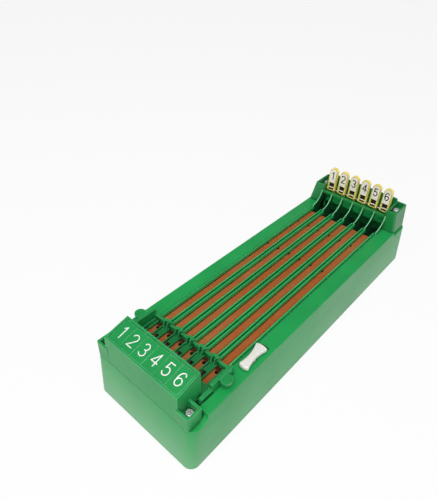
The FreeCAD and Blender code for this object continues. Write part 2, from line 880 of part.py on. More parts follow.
def gate_lug(x):
    # A raised lug behind a divider, with two gussets
    low_top = deck_height + gate_low_rise
    high_top = deck_height + gate_high_rise
    lug = box(x - gate_lug_half_width, x + gate_lug_half_width, gate_near_y, gate_far_y, low_top - past,
              high_top)
    profile = [(gate_near_y, arm_bottom), (gate_near_y, high_top),
               (gate_near_y - gusset_top_depth, high_top), (gate_near_y - gusset_foot_depth, arm_bottom)]
    gussets = []
    for middle in (x - gusset_offset, x + gusset_offset):
        gussets.append(side_profile(profile, middle - lane_web / 2, middle + lane_web / 2))
    return [lug] + gussets


def gate_arm(side):
    # An arm beside the lanes, and its round-ended shank that reaches down to the pivot
    hub_bottom = gate_pivot_z - gate_hub_radius
    arm = side_box(side, arm_inner_x, arm_outer_x, arm_step_y, gate_near_y + lane_wall, arm_bottom, arm_top)
    shank = side_box(side, arm_inner_x, arm_outer_x, gate_pivot_y, arm_step_y + past, hub_bottom + past,
                     shank_top)
    neck = side_box(side, arm_inner_x, arm_outer_x, arm_step_y, arm_step_y + past, hub_bottom + past,
                    arm_top)
    hub = crosswise(side * arm_inner_x, side * arm_outer_x, gate_pivot_y, gate_pivot_z, gate_hub_radius)
    end = crosswise(side * arm_inner_x, side * arm_outer_x, gate_pivot_y, shank_top - shank_end_round,
                    shank_end_round)
    return [arm, shank, neck, hub, end]


def gate_ear(side):
    # The finger tab beside an arm: a large disc and a smaller one
    top = arm_top - ear_drop
    disc = upright(side * (arm_outer_x + ear_offset), gate_far_y - ear_back, top - ear_thickness, top,
                   ear_radius)
    lobe = upright(side * (arm_outer_x - ear_lobe_inset), gate_far_y - ear_lobe_back, top - ear_thickness,
                   top, ear_lobe_radius)
    inside = side_box(side, 0, arm_inner_x, -case_length, case_length, 0, 2 * deck_height)
    return fuse([disc, lobe]).cut(inside)


def make_gate():
    pieces = gate_bar()
    for number in range(1, lane_count):
        pieces += gate_lug(divider_x(number))
    holes = []
    for side in (-1, 1):
        pieces += gate_arm(side)
        pieces.append(gate_ear(side))
        holes.append(crosswise(side * (arm_inner_x - past), side * (arm_outer_x + past), gate_pivot_y,
                               gate_pivot_z, gate_pin_radius + running_gap))
    return cut_all(fuse(pieces), holes)


def make_gate_pins():
    return Part.makeCompound([gate_pin(side) for side in (-1, 1)])


def make_track_board():
    # The board that shakes, with a pair of ribs under it that hold each leaf spring
    half = track_half_width - board_side_gap
    pieces = [box(-half, half, track_near_y, track_far_y, board_bottom, board_top)]
    inner = spring_strip / 2 + shake_travel + linkage_gap
    for y in leaf_places:
        for low in (y - inner - wall, y + inner):
            pieces.append(box(-guide_half_width, guide_half_width, low, low + wall,
                              board_bottom - guide_depth, board_bottom))
    holes = []
    for number in range(1, lane_count + 1):
        holes.append(upright(lane_x(number), peg_hole_y, board_bottom - past, board_top + past,
                             peg_hole_radius))
    return cut_all(fuse(pieces), holes)


def make_mat(number):
    # A thin strip on the board in one lane, with a peg hole and notches along its edge
    x = lane_x(number)
    half = lane_width / 2 - mat_side_gap
    mat = box(x - half, x + half, track_near_y + mat_end_gap, track_far_y, board_top, floor_height)
    cuts = [upright(x, peg_hole_y, board_top - past, floor_height + past, peg_hole_radius)]
    for place in mat_notch_places:
        y = rib_foot_y - place
        cuts.append(box(x - half - past, x - half + mat_notch_depth, y - mat_notch_length / 2,
                        y + mat_notch_length / 2, board_top - past, floor_height + past))
    return cut_all(mat, cuts)


def make_leaf_spring(y):
    near = y - spring_strip / 2
    foot = box(-leaf_half_width, leaf_half_width, near, near + leaf_foot_length, base_plate_top,
               base_plate_top + leaf_foot_thickness)
    leaf = box(-leaf_half_width, leaf_half_width, near, near + spring_strip, base_plate_top,
               board_bottom - leaf_top_gap)
    return fuse([foot, leaf])


def make_track_posts():
    posts = []
    for x in (-post_x, post_x):
        for y in post_places:
            posts.append(upright(x, y, base_plate_top, board_bottom - sliding_gap, post_radius))
    return Part.makeCompound(posts)


def tooth_flank(radius, base, half_tooth):
    # Half the angle that a tooth takes up at a radius
    pressure = math.radians(pressure_angle)
    angle = math.acos(min(1.0, base / radius))
    return half_tooth + (math.tan(pressure) - pressure) - (math.tan(angle) - angle)


def gear_outline(teeth, x, y, turn):
    # Points of an involute spur gear, thinned by the backlash
    pitch = gear_module * teeth / 2
    base = pitch * math.cos(math.radians(pressure_angle))
    tip = pitch + gear_module * addendum_share
    root = pitch - gear_module * dedendum_share
    half_tooth = (math.pi * gear_module / 2 - gear_backlash) / (2 * pitch)
    start = max(base, root)
    flank = []
    for step in range(flank_steps):
        radius = start + (tip - start) * step / (flank_steps - 1)
        flank.append((radius, tooth_flank(radius, base, half_tooth)))
    if root < start - 1e-4:
        flank.insert(0, (root, flank[0][1]))
    points = []
    for tooth in range(teeth):
        middle = turn + 2 * math.pi * tooth / teeth
        rising = [(radius, -spread) for radius, spread in flank]
        for radius, spread in rising + flank[::-1]:
            angle = middle + spread
            points.append(Vector(x + radius * math.cos(angle), y + radius * math.sin(angle), 0))
    return points


def spur_gear(teeth, place, z0, z1, turn, bore):
    x, y = place
    face = polygon_face(gear_outline(teeth, x, y, turn))
    face.translate(Vector(0, 0, z0))
    gear = face.extrude(Vector(0, 0, z1 - z0))
    return gear.cut(upright(x, y, z0 - past, z1 + past, bore))


def polar(centre, distance, degrees):
    angle = math.radians(degrees)
    return centre[0] + distance * math.cos(angle), centre[1] + distance * math.sin(angle)


def train_places():
    key = (key_x, key_y)
    barrel = polar(key, pinion_radius + barrel_radius, barrel_angle)
    middle = polar(barrel, barrel_radius + pinion_radius, middle_angle)
    cam = polar(middle, wheel_radius + pinion_radius, cam_angle)
    return key, barrel, middle, cam


def facing_turn(own, other):
    return math.atan2(other[1] - own[1], other[0] - own[0])


def meshed_turn(teeth, own, other, other_teeth, other_turn):
    # The turn that puts a gap of this gear where the other gear has a tooth
    towards = facing_turn(other, own)
    other_step = 2 * math.pi / other_teeth
    phase = ((towards - other_turn) / other_step) % 1.0
    step = 2 * math.pi / teeth
    return facing_turn(own, other) + step * (0.5 + phase)


def make_train():
    key, barrel, middle, cam = train_places()
    key_turn = facing_turn(key, barrel)
    barrel_turn = meshed_turn(barrel_teeth, barrel, key, pinion_teeth, key_turn)
    middle_turn = meshed_turn(pinion_teeth, middle, barrel, barrel_teeth, barrel_turn)
    wheel_turn = facing_turn(middle, cam)
    cam_turn = meshed_turn(pinion_teeth, cam, middle, wheel_teeth, wheel_turn)
    low = low_level - pinion_extra
    low_top = low_level + gear_face + pinion_extra
    high = high_level - pinion_extra
    high_top = high_level + gear_face
    return {
        "winding_pinion": spur_gear(pinion_teeth, key, low, low_top, key_turn, shaft_radius),
        "barrel_gear": spur_gear(barrel_teeth, barrel, low_level, drum_bottom, barrel_turn, arbor_radius),
        "intermediate_pinion": spur_gear(pinion_teeth, middle, low, low_top, middle_turn, arbor_radius),
        "intermediate_wheel": spur_gear(wheel_teeth, middle, high_level, high_top, wheel_turn,
                                        arbor_radius),
        "cam_pinion": spur_gear(pinion_teeth, cam, high, high_top + pinion_extra, cam_turn, arbor_radius),
        "barrel_arbor": make_arbor(barrel, motor_ceiling + motor_plate_thickness + arbor_end),
        "intermediate_arbor": make_arbor(middle, motor_ceiling + motor_plate_thickness + arbor_end),
        "cam_arbor": make_arbor(cam, cam_top - cam_cap),
    }


def make_arbor(place, top):
    return upright(place[0], place[1], motor_floor - arbor_end, top, arbor_radius)


def make_drum():
    x, y = train_places()[1]
    drum = upright(x, y, drum_bottom, drum_top, drum_radius)
    room = upright(x, y, drum_bottom + drum_wall, drum_top - drum_wall, drum_radius - drum_wall)
    bore = upright(x, y, drum_bottom - past, drum_top + past, arbor_radius)
    return drum.cut(room).cut(bore)


def make_mainspring():
    # A flat strip wound outwards in half circles, from the arbor to the wall of the drum
    x, y = train_places()[1]
    z0 = drum_bottom + drum_wall + spring_edge_gap
    z1 = drum_top - drum_wall - spring_edge_gap
    room = drum_radius - drum_wall - arbor_radius - spring_strip
    growth = room / (2 * spring_turns)
    outer = spiral_edges(x, y, arbor_radius + spring_strip, growth, z0)
    inner = spiral_edges(x, y, arbor_radius, growth, z0)
    first = Part.LineSegment(inner[0].Vertexes[0].Point, outer[0].Vertexes[0].Point).toShape()
    last = Part.LineSegment(inner[-1].Vertexes[-1].Point, outer[-1].Vertexes[-1].Point).toShape()
    wire = Part.Wire(Part.__sortEdges__(outer + inner + [first, last]))
    return Part.Face(wire).extrude(Vector(0, 0, z1 - z0))


def spiral_edges(x, y, start, growth, z):
    edges = []
    end = x - start
    radius = start
    side = 1
    for half_turn in range(2 * spring_turns):
        first = Vector(end, y, z)
        middle = Vector(end + radius * side, y + radius * side, z)
        end += 2 * radius * side
        edges.append(Part.Arc(first, middle, Vector(end, y, z)).toShape())
        radius += growth
        side = -side
    return edges


def make_cam():
    # A disc with a pin beside its centre
    x, y = train_places()[3]
    disc = upright(x, y, cam_bottom, cam_top, cam_radius)
    pin = upright(x + cam_throw, y, cam_top, fork_bottom + cam_pin_reach, cam_pin_radius)
    bore = upright(x, y, cam_bottom - past, cam_top - cam_cap, arbor_radius)
    return fuse([disc, pin]).cut(bore)


def make_fork():
    # The fork under the board that the cam pin shakes
    x, y = train_places()[3]
    gap = cam_pin_radius + cam_throw + shake_travel + linkage_gap
    half = gap + fork_wall
    block = box(x - fork_half_width, x + fork_half_width, y - half, y + half, fork_bottom, board_bottom)
    slot = box(x - fork_slot_half_width, x + fork_slot_half_width, y - gap, y + gap, fork_bottom - past,
               board_bottom - fork_bridge)
    return block.cut(slot)


def pillar_places():
    # The corners of the motor plates, clear of the cam and of the largest gear
    key, barrel, middle, cam = train_places()
    x0 = cam[0] - cam_radius - 3 * post_radius + motor_plate_margin
    x1 = key[0] + pinion_radius - motor_plate_margin
    y0 = barrel[1] - barrel_radius
    y1 = cam[1] + pinion_radius - motor_plate_margin / 2
    return [(x0, y0), (x1, y0), (x0, y1), (x1, y1)]


def make_motor_plate(z0):
    key, barrel, middle, cam = train_places()
    corners = pillar_places()
    x0, y0 = corners[0]
    x1, y1 = corners[-1]
    margin = motor_plate_margin
    plate = box(x0 - margin, x1 + margin, y0 - margin, y1 + margin, z0, z0 + motor_plate_thickness)
    holes = [upright(key[0], key[1], z0 - past, z0 + wall, shaft_radius + running_gap)]
    for x, y in (barrel, middle, cam):
        holes.append(upright(x, y, z0 - past, z0 + wall, arbor_radius + running_gap))
    for x, y in corners:
        holes.append(upright(x, y, z0 - past, z0 + wall, post_radius / 2))
    return cut_all(plate, holes)


def make_pillars():
    pillars = []
    top = motor_ceiling + motor_plate_thickness
    for x, y in pillar_places():
        core = upright(x, y, base_plate_top, top, post_radius / 2)
        lower = upright(x, y, base_plate_top, motor_floor, post_radius)
        upper = upright(x, y, motor_floor + motor_plate_thickness, motor_ceiling, post_radius)
        head = upright(x, y, top, top + motor_plate_thickness, post_radius)
        pillars.append(fuse([core, lower, upper, head]))
    return Part.makeCompound(pillars)


def make_key():
    # A bow-tie knob with hollow sides and round ends, wider at its far end, on a short hub
    half = key_length / 2
    far = key_far_width / 2
    near = key_near_width / 2
    waist = key_waist / 2
    shoulder = half - key_end_bulge
    z0 = key_bottom
    far_r, far_l = Vector(far, shoulder, z0), Vector(-far, shoulder, z0)
    near_r, near_l = Vector(near, -shoulder, z0), Vector(-near, -shoulder, z0)
    edges = [Part.Arc(far_r, Vector(0, half, z0), far_l).toShape(),
             Part.Arc(far_l, Vector(-waist, 0, z0), near_l).toShape(),
             Part.Arc(near_l, Vector(0, -half, z0), near_r).toShape(),
             Part.Arc(near_r, Vector(waist, 0, z0), far_r).toShape()]
    knob = Part.Face(Part.Wire(edges)).extrude(Vector(0, 0, key_thickness))
    upright_edges = [edge for edge in knob.Edges if edge.BoundBox.ZLength > key_thickness / 2]
    knob = knob.makeFillet(key_corner_round, upright_edges)
    top_edges = [edge for edge in knob.Edges if edge.BoundBox.ZMin > key_top - sliding_gap]
    knob = knob.makeFillet(min(key_top_round, key_thickness / 3), top_edges)
    hub = upright(0, 0, deck_height + key_hub_gap, key_bottom + past, key_hub_radius)
    knob = fuse([knob, hub])
    knob.rotate(Vector(0, 0, 0), Vector(0, 0, 1), key_turn_angle)
    knob.translate(Vector(key_x, key_y, 0))
    return knob.cut(upright(key_x, key_y, deck_height, shaft_top, shaft_radius))


def make_winding_shaft():
    return upright(key_x, key_y, motor_floor - arbor_end, shaft_top, shaft_radius)


def screw(x, y, seat, length, up):
    # A pan-head screw with a cross recess, its head on the side that up points to
    head = upright(0, 0, 0, screw_head_height, screw_head_radius)
    edges = [edge for edge in head.Edges if edge.BoundBox.ZMin > screw_head_height - sliding_gap]
    head = head.makeFillet(screw_head_round, edges)
    shank = upright(0, 0, -length, 0, screw_shank_radius)
    arm = screw_cross_reach
    slot = screw_cross_width / 2
    z0 = screw_head_height - screw_cross_depth
    z1 = screw_head_height + past
    cross = [box(-arm, arm, -slot, slot, z0, z1), box(-slot, slot, -arm, arm, z0, z1)]
    solid = cut_all(fuse([head, shank]), cross)
    if up < 0:
        solid.rotate(Vector(0, 0, 0), Vector(1, 0, 0), 180)
    solid.rotate(Vector(0, 0, 0), Vector(0, 0, 1), screw_turn)
    solid.translate(Vector(x, y, seat))
    return solid


def make_block_screws():
    near, far = block_screw_places()
    grip = screw_length - screw_tip_room
    screws = [screw(x, y, pocket_floor, pocket_floor - shelf_height + grip, 1) for x, y in near]
    screws += [screw(x, y, finish_pocket_floor, finish_pocket_floor - deck_height + grip, 1)
               for x, y in far]
    return Part.makeCompound(screws)


def make_base_screws():
    seat = base_plate_top - screw_seat_depth
    length = screw_length - screw_tip_room
    return Part.makeCompound([screw(x, y, seat, length, -1) for x, y in base_screw_places()])


def save_case():
    save("housing", make_housing())
    save("bottom_plate", make_bottom_plate())
    save("feet", make_feet())
    save("number_block", make_number_block())
    save("finish_block", make_finish_block())
    save("finish_floor", make_finish_floor())
    save("finish_ribs", make_finish_ribs())
    save("block_screws", make_block_screws())
    save("base_screws", make_base_screws())


def save_lanes():
    save("start_stalls", make_stalls())
    save("lane_rail_left", make_outer_rail(-1))
    save("lane_rail_right", make_outer_rail(1))
    for number in range(1, lane_count):
        save("lane_divider_%d" % number, make_divider(number))
    for number in range(1, lane_count + 1):
        save("finish_flag_%d" % number, make_flag(number))
        save("flag_plate_%d" % number, make_flag_plate(number))
        save("lane_mat_%d" % number, make_mat(number))
    save("flag_axle", make_flag_axle())
    save("start_gate", make_gate())
    save("gate_pins", make_gate_pins())


def save_track():
    near_leaf, far_leaf = leaf_places
    save("track_board", make_track_board())
    save("track_spring_near", make_leaf_spring(near_leaf))
    save("track_spring_far", make_leaf_spring(far_leaf))
    save("track_posts", make_track_posts())
    save("track_fork", make_fork())


def save_motor():
    for name, shape in make_train().items():
        save(name, shape)
    save("spring_barrel", make_drum())
    save("mainspring", make_mainspring())
    save("shaker_cam", make_cam())
    save("motor_lower_plate", make_motor_plate(motor_floor))
    save("motor_upper_plate", make_motor_plate(motor_ceiling))
    save("motor_pillars", make_pillars())
    save("winding_key", make_key())
    save("winding_shaft", make_winding_shaft())


def main():
    os.makedirs("parts", exist_ok=True)
    save_case()
    save_lanes()
    save_track()
    save_motor()


main()
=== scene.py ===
import math

import bpy
from mathutils import Matrix, Vector


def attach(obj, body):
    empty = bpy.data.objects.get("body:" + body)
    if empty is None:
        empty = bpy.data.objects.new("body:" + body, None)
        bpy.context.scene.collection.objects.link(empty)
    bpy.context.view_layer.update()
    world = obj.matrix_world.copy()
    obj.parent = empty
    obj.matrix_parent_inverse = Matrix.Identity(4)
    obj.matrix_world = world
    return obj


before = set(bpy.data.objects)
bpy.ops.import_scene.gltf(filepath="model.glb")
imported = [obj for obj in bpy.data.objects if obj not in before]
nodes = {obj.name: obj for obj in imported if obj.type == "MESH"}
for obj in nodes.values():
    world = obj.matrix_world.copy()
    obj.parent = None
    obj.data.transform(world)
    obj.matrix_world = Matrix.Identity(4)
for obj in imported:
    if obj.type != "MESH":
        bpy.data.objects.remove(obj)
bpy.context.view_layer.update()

# Lengths are in mm and are multiplied by MM where they are used, unless a comment says metres
MM = 0.001
LANES = 6
LANE_PITCH = 14.2
PANEL_PITCH = 13.25             # between the numbers on the sloping panel
HOLE_Y = -135.8                 # the peg holes of the track strips


def centred(number, pitch):
    # Where the numbered lane or cell lies across the game
    return (number - (LANES + 1) / 2) * pitch


# ---------------------------------------------------------------- camera and light

CAMERA_PLACE = (180.658, -309.12, 359.98)
CAMERA_YAW, CAMERA_PITCH, CAMERA_ROLL = 0.707, 0.665, 0.038
FOCAL_PIXELS = 446.918
PICTURE_PIXELS = 500.0          # the picture's longer side
SENSOR_WIDTH = 36.0

AMBIENT = 0.30                  # the world's strength on the object
CEILING = 0.08                  # what reflections see overhead, against 1 at the horizon
CEILING_START, CEILING_END = 0.12, 0.62
FLOOR_REACH = 6.0               # metres
FLOOR_DROP = 0.2
FLOOR_GREY = 0.82
FLOOR_WHITE_SHARE = 0.88        # share of plain white in the floor that the camera sees

# Name, place and target in metres, size in metres, power in watts
LAMPS = (
    ("key_lamp", (0.45, -0.50, 1.50), (0, 0, 0.05), 1.3, 19.0),
    ("front_fill", (0.25, -0.90, 0.90), (0, 0, 0.08), 0.8, 5.0),
)


def make_camera():
    yaw, pitch, roll = CAMERA_YAW, CAMERA_PITCH, CAMERA_ROLL
    back = Vector((math.sin(yaw) * math.cos(pitch), -math.cos(yaw) * math.cos(pitch), math.sin(pitch)))
    right = Vector((math.cos(yaw), math.sin(yaw), 0.0))
    up = back.cross(right)
    rolled_right = math.cos(roll) * right + math.sin(roll) * up
    rolled_up = -math.sin(roll) * right + math.cos(roll) * up
    data = bpy.data.cameras.new("camera")
    data.sensor_fit = "AUTO"
    data.sensor_width = SENSOR_WIDTH
    data.lens = FOCAL_PIXELS / PICTURE_PIXELS * SENSOR_WIDTH
    data.clip_start = 0.01
    data.clip_end = 50.0
    camera = bpy.data.objects.new("camera", data)
    turn = Matrix((rolled_right, rolled_up, back)).transposed()
    camera.matrix_world = Matrix.Translation(Vector(CAMERA_PLACE) * MM) @ turn.to_4x4()
    bpy.context.scene.collection.objects.link(camera)
    bpy.context.scene.camera = camera


def area_lamp(name, place, target, size, power):
    data = bpy.data.lights.new(name, "AREA")
    data.shape = "SQUARE"
    data.size = size
    data.energy = power
    lamp = bpy.data.objects.new(name, data)
    lamp.location = place
    lamp.rotation_euler = (Vector(target) - Vector(place)).to_track_quat("-Z", "Y").to_euler()
    bpy.context.scene.collection.objects.link(lamp)


def background_mask(tree):
    # 1 where a ray from the camera, a reflection or glass sees the background
    path = tree.nodes.new("ShaderNodeLightPath")
    mask = path.outputs["Is Camera Ray"]
    for kind in ("Is Glossy Ray", "Is Transmission Ray"):
        either = tree.nodes.new("ShaderNodeMath")
        either.operation = "MAXIMUM"
        tree.links.new(mask, either.inputs[0])
        tree.links.new(path.outputs[kind], either.inputs[1])
        mask = either.outputs[0]
    return mask


def mix_shaders(tree, share, first, second, output_kind):
    mix = tree.nodes.new("ShaderNodeMixShader")
    out = tree.nodes.new(output_kind)
    tree.links.new(share, mix.inputs[0])
    tree.links.new(first, mix.inputs[1])
    tree.links.new(second, mix.inputs[2])
    tree.links.new(mix.outputs[0], out.inputs["Surface"])


def make_world():
    # White to the camera, darker overhead for reflections, and soft for the light on the object
    world = bpy.data.worlds.new("studio")
    world.use_nodes = True
    tree = world.node_tree
    tree.nodes.clear()
    soft = tree.nodes.new("ShaderNodeBackground")
    soft.inputs["Color"].default_value = (1.0, 1.0, 1.0, 1.0)
    soft.inputs["Strength"].default_value = AMBIENT
    seen = tree.nodes.new("ShaderNodeBackground")
    seen.inputs["Strength"].default_value = 1.0
    coords = tree.nodes.new("ShaderNodeTexCoord")
    split = tree.nodes.new("ShaderNodeSeparateXYZ")
    ramp = tree.nodes.new("ShaderNodeMapRange")
    ramp.inputs["From Min"].default_value = CEILING_START
    ramp.inputs["From Max"].default_value = CEILING_END
    ramp.inputs["To Min"].default_value = 1.0
    ramp.inputs["To Max"].default_value = CEILING
    tree.links.new(coords.outputs["Generated"], split.inputs[0])
    tree.links.new(split.outputs["Z"], ramp.inputs["Value"])
    path = tree.nodes.new("ShaderNodeLightPath")
    plain = tree.nodes.new("ShaderNodeMix")
    plain.data_type = "FLOAT"
    tree.links.new(path.outputs["Is Camera Ray"], plain.inputs["Factor"])
    tree.links.new(ramp.outputs["Result"], plain.inputs["A"])
    plain.inputs["B"].default_value = 1.0
    tree.links.new(plain.outputs["Result"], seen.inputs["Color"])
    mix_shaders(tree, background_mask(tree), soft.outputs[0], seen.outputs[0], "ShaderNodeOutputWorld")
    bpy.context.scene.world = world


def make_floor():
    # A plain sheet that takes the object's shadow and is near white to the camera
    mesh = bpy.data.meshes.new("floor")
    corners = [(x * FLOOR_REACH, y * FLOOR_REACH, 0) for x, y in ((-1, -1), (1, -1), (1, 1), (-1, 1))]
    mesh.from_pydata(corners, [], [(0, 1, 2, 3)])
    floor = bpy.data.objects.new("floor", mesh)
    floor.location.z = -FLOOR_DROP * MM
    bpy.context.scene.collection.objects.link(floor)
    material = bpy.data.materials.new("floor_white")
    material.use_nodes = True
    tree = material.node_tree
    tree.nodes.clear()
    lit = tree.nodes.new("ShaderNodeBsdfDiffuse")
    lit.inputs["Color"].default_value = (FLOOR_GREY, FLOOR_GREY, FLOOR_GREY, 1.0)
    white = tree.nodes.new("ShaderNodeEmission")
    white.inputs["Strength"].default_value = 1.0
    share = tree.nodes.new("ShaderNodeMath")
    share.operation = "MULTIPLY"
    share.inputs[1].default_value = FLOOR_WHITE_SHARE
    tree.links.new(background_mask(tree), share.inputs[0])
    mix_shaders(tree, share.outputs[0], lit.outputs[0], white.outputs[0], "ShaderNodeOutputMaterial")
    mesh.materials.append(material)


# ---------------------------------------------------------------- materials

class Builder:
    """Small helper around one material's node tree."""

    def __init__(self, name):
        self.material = bpy.data.materials.new(name)
        self.material.use_nodes = True
        self.tree = self.material.node_tree
        self.shader = self.tree.nodes["Principled BSDF"]
        self.coords = self.tree.nodes.new("ShaderNodeTexCoord").outputs["Object"]

    def link(self, source, target):
        self.tree.links.new(source, target)

    def node(self, kind):
        return self.tree.nodes.new(kind)

    def axes(self, vector):
        split = self.node("ShaderNodeSeparateXYZ")
        self.link(vector, split.inputs[0])
        return split.outputs

    def stretched(self, scale):
        mapping = self.node("ShaderNodeMapping")
        mapping.inputs["Scale"].default_value = scale
        self.link(self.coords, mapping.inputs["Vector"])
        return mapping.outputs[0]

    def noise(self, scale, detail=2.0, rough=0.5, coords=None):
        noise = self.node("ShaderNodeTexNoise")
        noise.inputs["Scale"].default_value = scale
        noise.inputs["Detail"].default_value = detail
        noise.inputs["Roughness"].default_value = rough
        self.link(coords or self.coords, noise.inputs["Vector"])
        return noise.outputs["Fac"]

    def spread(self, value, low, high, start=0.3, end=0.7):
        # low up to start, high from end on, and a straight line between
        ranger = self.node("ShaderNodeMapRange")
        ranger.inputs["From Min"].default_value = start
        ranger.inputs["From Max"].default_value = end
        ranger.inputs["To Min"].default_value = low
        ranger.inputs["To Max"].default_value = high
        self.link(value, ranger.inputs["Value"])
        return ranger.outputs["Result"]

    def fade(self, value, low, high, start, end):
        # The same, with start and end in mm
        return self.spread(value, low, high, start * MM, end * MM)

    def blend(self, fac, first, second):
        mix = self.node("ShaderNodeMix")
        mix.data_type = "RGBA"
        self.link(fac, mix.inputs["Factor"])
        for value, socket in ((first, mix.inputs[6]), (second, mix.inputs[7])):
            if isinstance(value, tuple):
                socket.default_value = value + (1.0,)
            else:
                self.link(value, socket)
        return mix.outputs[2]

    def math(self, operation, *values):
        maths = self.node("ShaderNodeMath")
        maths.operation = operation
        for value, socket in zip(values, maths.inputs):
            if isinstance(value, (int, float)):
                socket.default_value = value
            else:
                self.link(value, socket)
        return maths.outputs[0]

    def bump(self, heights):
        # heights: (height output, distance in mm, strength)
        normal = None
        for value, distance, strength in heights:
            bump = self.node("ShaderNodeBump")
            bump.inputs["Distance"].default_value = distance * MM
            bump.inputs["Strength"].default_value = strength
            self.link(value, bump.inputs["Height"])
            if normal:
                self.link(normal, bump.inputs["Normal"])
            normal = bump.outputs["Normal"]
        self.link(normal, self.shader.inputs["Normal"])

    def edges(self, radius):
        # 0 on flat ground, rising towards a sharp edge
        bevel = self.node("ShaderNodeBevel")
        bevel.samples = 6
        bevel.inputs["Radius"].default_value = radius * MM
        flat = self.node("ShaderNodeNewGeometry").outputs["Normal"]
        dot = self.node("ShaderNodeVectorMath")
        dot.operation = "DOT_PRODUCT"
        self.link(bevel.outputs[0], dot.inputs[0])
        self.link(flat, dot.inputs[1])
        return self.spread(dot.outputs["Value"], 1.0, 0.0, 0.80, 0.995)

    def painted_crevice_shade(self, reach):
        # Painted shade: 0 on open ground, rising in narrow grooves and inner corners, where ambient
        # occlusion finds them
        shut = self.node("ShaderNodeAmbientOcclusion")
        shut.samples = 8
        shut.inputs["Distance"].default_value = reach * MM
        return self.spread(shut.outputs["AO"], 0.92, 0.0, 0.32, 0.90)

    def painted_thin_face_highlight(self):
        # Painted highlight: 1 on faces that don't look sideways, such as the front edge of a rib; 0 on its
        # sides
        sideways = self.axes(self.node("ShaderNodeNewGeometry").outputs["Normal"])["X"]
        return self.spread(self.math("ABSOLUTE", sideways), 1.0, 0.0, 0.3, 0.8)

    def painted_floor_sheen_mask(self):
        # Painted sheen of the white floor's reflection: rises down the case's walls, most of all on the
        # near one
        axes = self.axes(self.coords)
        low_down = self.fade(axes["Z"], 0.48, 0.0, 4.0, 50.0)
        return self.math("MULTIPLY", low_down, self.fade(axes["Y"], 1.0, 0.30, -189.0, -150.0))

    def painted_bay_shade_mask(self):
        # Painted shade: 1 on the finish block's inner walls, behind and beside the bays; 0 outside
        axes = self.axes(self.coords)
        inside = self.fade(self.math("ABSOLUTE", axes["X"]), 1.0, 0.0, 42.5, 43.2)
        inside = self.math("MULTIPLY", inside, self.fade(axes["Z"], 1.0, 0.0, 69.0, 74.0))
        return self.math("MULTIPLY", inside, self.fade(axes["Y"], 1.0, 0.0, 160.0, 162.0))

    def painted_gate_and_hole_shade(self):
        # Painted shade on the strips: 1 in the gate's shadow and round each peg hole; 0 elsewhere
        hole = nodes["lane_mat_1"].matrix_world.inverted() @ Vector((0.0, HOLE_Y * MM, 0.0))
        half_pitch = LANE_PITCH / 2 * MM
        axes = self.axes(self.coords)
        along = self.math("SUBTRACT", axes["Y"], hole.y)
        across = self.math("PINGPONG", self.math("SUBTRACT", axes["X"], hole.x - half_pitch), half_pitch)
        squares = [self.math("MULTIPLY", way, way) for way in (along, across)]
        round_hole = self.fade(self.math("SQRT", self.math("ADD", *squares)), 0.95, 0.0, 1.65, 1.95)
        shade_start = self.fade(along, 0.0, 0.90, 0.6, 2.2)
        shade_end = self.fade(along, 1.0, 0.0, 6.6, 8.4)
        return self.math("MAXIMUM", round_hole, self.math("MULTIPLY", shade_start, shade_end))

    def colour(self, source):
        self.link(source, self.shader.inputs["Base Color"])

    def rough(self, source):
        self.link(source, self.shader.inputs["Roughness"])

    def set(self, **values):
        for name, value in values.items():
            self.shader.inputs[name.replace("_", " ")].default_value = value


def shade(colour, factor):
    return tuple(min(1.0, channel * factor) for channel in colour)


CREVICE_REACH = 2.6
METAL_CREVICE_REACH = 0.9
METAL_CREVICE_SHADE = (0.02, 0.02, 0.02)
FELT_FLUFF = (0.40, 0.19, 0.075)
FELT_PAINTED_SHADE = (0.016, 0.006, 0.003)


def moulded(name, colour, rough, specular, grain, worn_and_highlight, worn_and_highlight_width=0.5, painted_sheen=None, front=None, painted_bay_shade=None):
    """Injection-moulded plastic: cloudy tone, fine grain, faint scuffs, painted shade in grooves, paler
    edges that are partly wear and partly painted highlight.

    The last three arguments are the colours of the painted sheen on the low near wall, of the painted
    highlight on thin faces that don't look sideways and of the painted shade in each finish bay.
    """
    b = Builder(name)
    cloud = b.spread(b.noise(22.0, 3.0, 0.55), 0.0, 1.0)
    base = b.blend(cloud, shade(colour, 0.90), shade(colour, 1.08))
    flow = b.spread(b.noise(9.0, 4.0, 0.6, b.stretched((1.0, 0.35, 3.0))), 0.0, 0.35, 0.45, 0.8)
    base = b.blend(flow, base, shade(colour, 1.2))
    # Painted sheen: the white floor's reflection, paler low on the walls
    if painted_sheen:
        base = b.blend(b.painted_floor_sheen_mask(), base, painted_sheen)
    # Painted shade on the finish block's walls in the bays
    if painted_bay_shade:
        base = b.blend(b.painted_bay_shade_mask(), base, painted_bay_shade)
    # Painted shade: darker in grooves and inner corners
    base = b.blend(b.painted_crevice_shade(CREVICE_REACH), base, shade(colour, 0.16))
    # Painted highlight on thin faces that don't look sideways
    if front:
        base = b.blend(b.painted_thin_face_highlight(), base, front)
    # Paler edges: partly wear, partly painted highlight
    edge = b.math("MULTIPLY", b.edges(worn_and_highlight_width), b.spread(b.noise(70.0, 3.0), 0.35, 1.0))
    b.colour(b.blend(edge, base, worn_and_highlight))
    scuff = b.spread(b.noise(160.0, 5.0, 0.7, b.stretched((1.0, 0.12, 1.0))), 0.0, 1.0, 0.52, 0.70)
    patch = b.spread(b.noise(14.0, 2.0), *rough)
    b.rough(b.math("ADD", patch, b.math("MULTIPLY", scuff, 0.07)))
    b.set(Specular_IOR_Level=specular)
    b.bump([(b.noise(1500.0, 2.0, 0.6), 0.03, grain), (b.noise(45.0, 1.0), 0.25, 0.10)])
    return b.material


